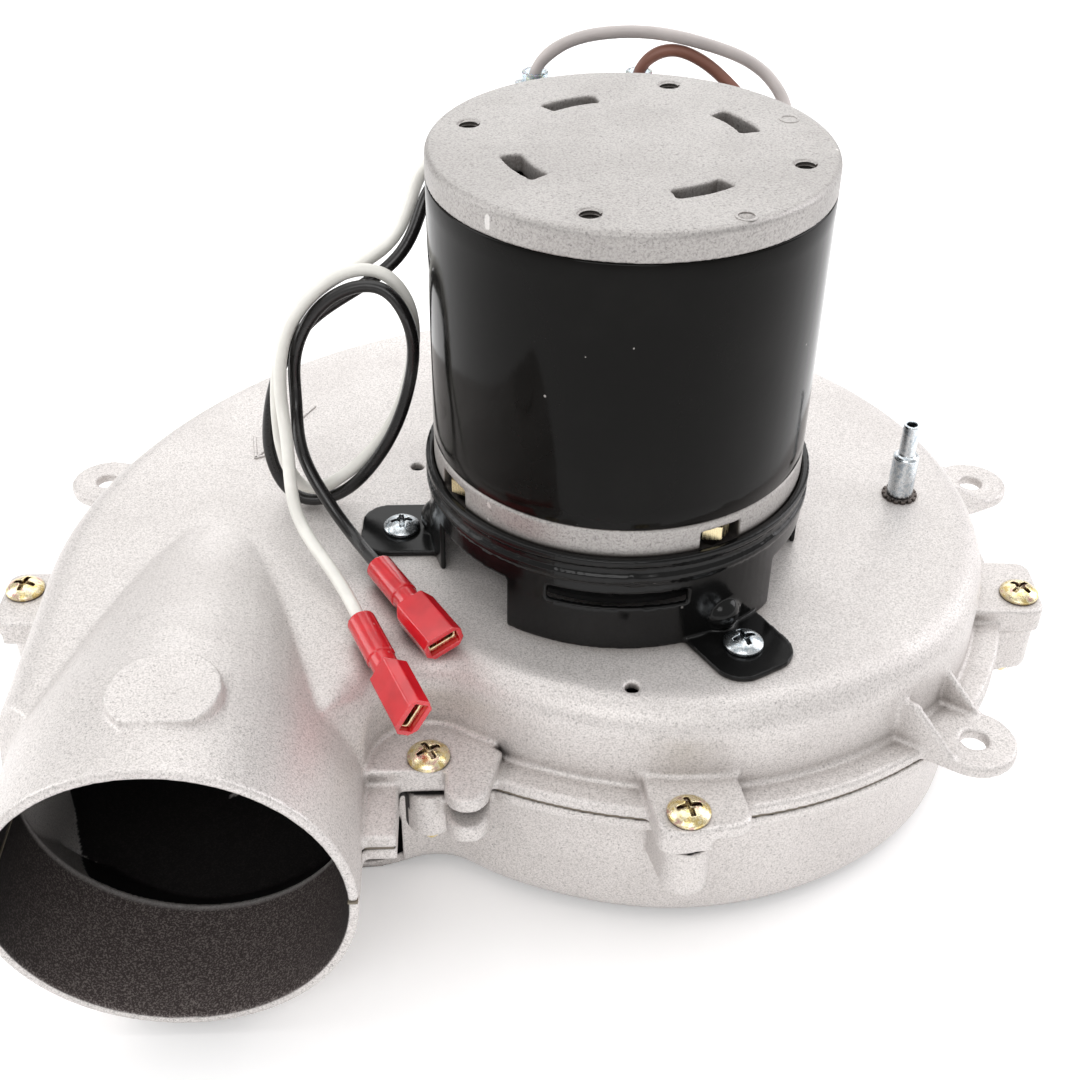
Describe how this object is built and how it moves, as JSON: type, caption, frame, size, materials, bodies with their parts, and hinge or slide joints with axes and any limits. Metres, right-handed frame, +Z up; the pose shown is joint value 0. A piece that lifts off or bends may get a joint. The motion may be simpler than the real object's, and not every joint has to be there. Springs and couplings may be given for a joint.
{
  "type": "combustion fan",
  "caption": "Centrifugal combustion fan with a split cast scroll, round side outlet, bottom inlet, upright motor on a footed bracket, pressure tap and wired run capacitor.",
  "frame": {"origin": "on the motor and impeller axis, at the casing's flat underside, which is the inlet's rim", "axes": "+Z up the motor axis, -Y out of the round outlet, +X to the right seen from the outlet side"},
  "size_m": [0.2621, 0.2089, 0.1665],
  "materials": {
    "cast_aluminium": "bead-blasted casting",
    "cap_aluminium": "rough casting",
    "black_enamel": "gloss",
    "bracket_enamel": "gloss",
    "zinc_yellow": "yellow chromate zinc plating",
    "zinc_bright": "bright zinc plating",
    "steel": "ground",
    "galvanised_steel": "galvanised sheet",
    "lamination_steel": "stacked laminations",
    "copper": "enamelled wire",
    "brass": "tinned brass",
    "sealant": "cured bead",
    "rubber": "matt",
    "dark_steel": "blackened",
    "red_nylon": "translucent nylon",
    "clear_nylon": "clear",
    "black_insulation": "satin",
    "white_insulation": "satin",
    "grey_insulation": "satin",
    "brown_insulation": "satin",
    "capacitor_can": "drawn",
    "capacitor_lid": "moulded",
    "fan_plastic": "moulded"
  },
  "bodies": {
    "casing": {"casing_upper": "cast_aluminium", "casing_lower": "cast_aluminium", "casing_seal": "sealant", "casing_screws": "zinc_yellow", "pressure_tap": "zinc_bright", "tap_washer": "dark_steel", "motor_shell": "black_enamel", "top_end_bell": "cap_aluminium", "bottom_end_bell": "cap_aluminium", "through_bolts": "steel", "through_bolt_nuts": "brass", "stator_core": "lamination_steel", "stator_windings": "copper", "grommets": "rubber", "motor_bracket": "bracket_enamel", "bracket_screws": "zinc_bright", "shaft_seal": "rubber", "capacitor_can": "capacitor_can", "capacitor_top": "capacitor_lid", "capacitor_tabs": "brass", "capacitor_strap": "zinc_bright", "strap_screw": "zinc_bright", "flag_receptacles": "brass", "flag_sleeves": "clear_nylon", "black_lead": "black_insulation", "white_lead": "white_insulation", "grey_wire": "grey_insulation", "brown_wire": "brown_insulation", "connector_sleeves": "red_nylon", "spade_receptacles": "brass", "lower_bearing_outer_race": "steel", "upper_bearing_outer_race": "steel"},
    "rotor": {"shaft": "steel", "rotor_core": "lamination_steel", "rotor_end_rings": "cap_aluminium", "lower_bearing_inner_race": "steel", "upper_bearing_inner_race": "steel", "cooling_fan": "fan_plastic", "impeller_blades": "galvanised_steel", "impeller_backplate": "galvanised_steel", "impeller_inlet_ring": "galvanised_steel", "impeller_hub": "steel", "impeller_nut": "zinc_bright", "impeller_washer": "zinc_bright"},
    "lower_balls": {"lower_bearing_balls": "steel"},
    "upper_balls": {"upper_bearing_balls": "steel"}
  },
  "joints": [
    {"name": "rotor_spin", "type": "hinge", "parent": "casing", "child": "rotor", "pos_m": [0, 0, 0.05], "axis": [0, 0, 1], "continuous": true},
    {"name": "lower_ball_orbit", "type": "hinge", "parent": "casing", "child": "lower_balls", "pos_m": [0, 0, 0.088], "axis": [0, 0, 1], "continuous": true},
    {"name": "upper_ball_orbit", "type": "hinge", "parent": "casing", "child": "upper_balls", "pos_m": [0, 0, 0.1525], "axis": [0, 0, 1], "continuous": true}
  ],
  "couplings": [
    {"joint": "lower_ball_orbit", "follows": "rotor_spin", "ratio": 0.4},
    {"joint": "upper_ball_orbit", "follows": "rotor_spin", "ratio": 0.4}
  ]
}
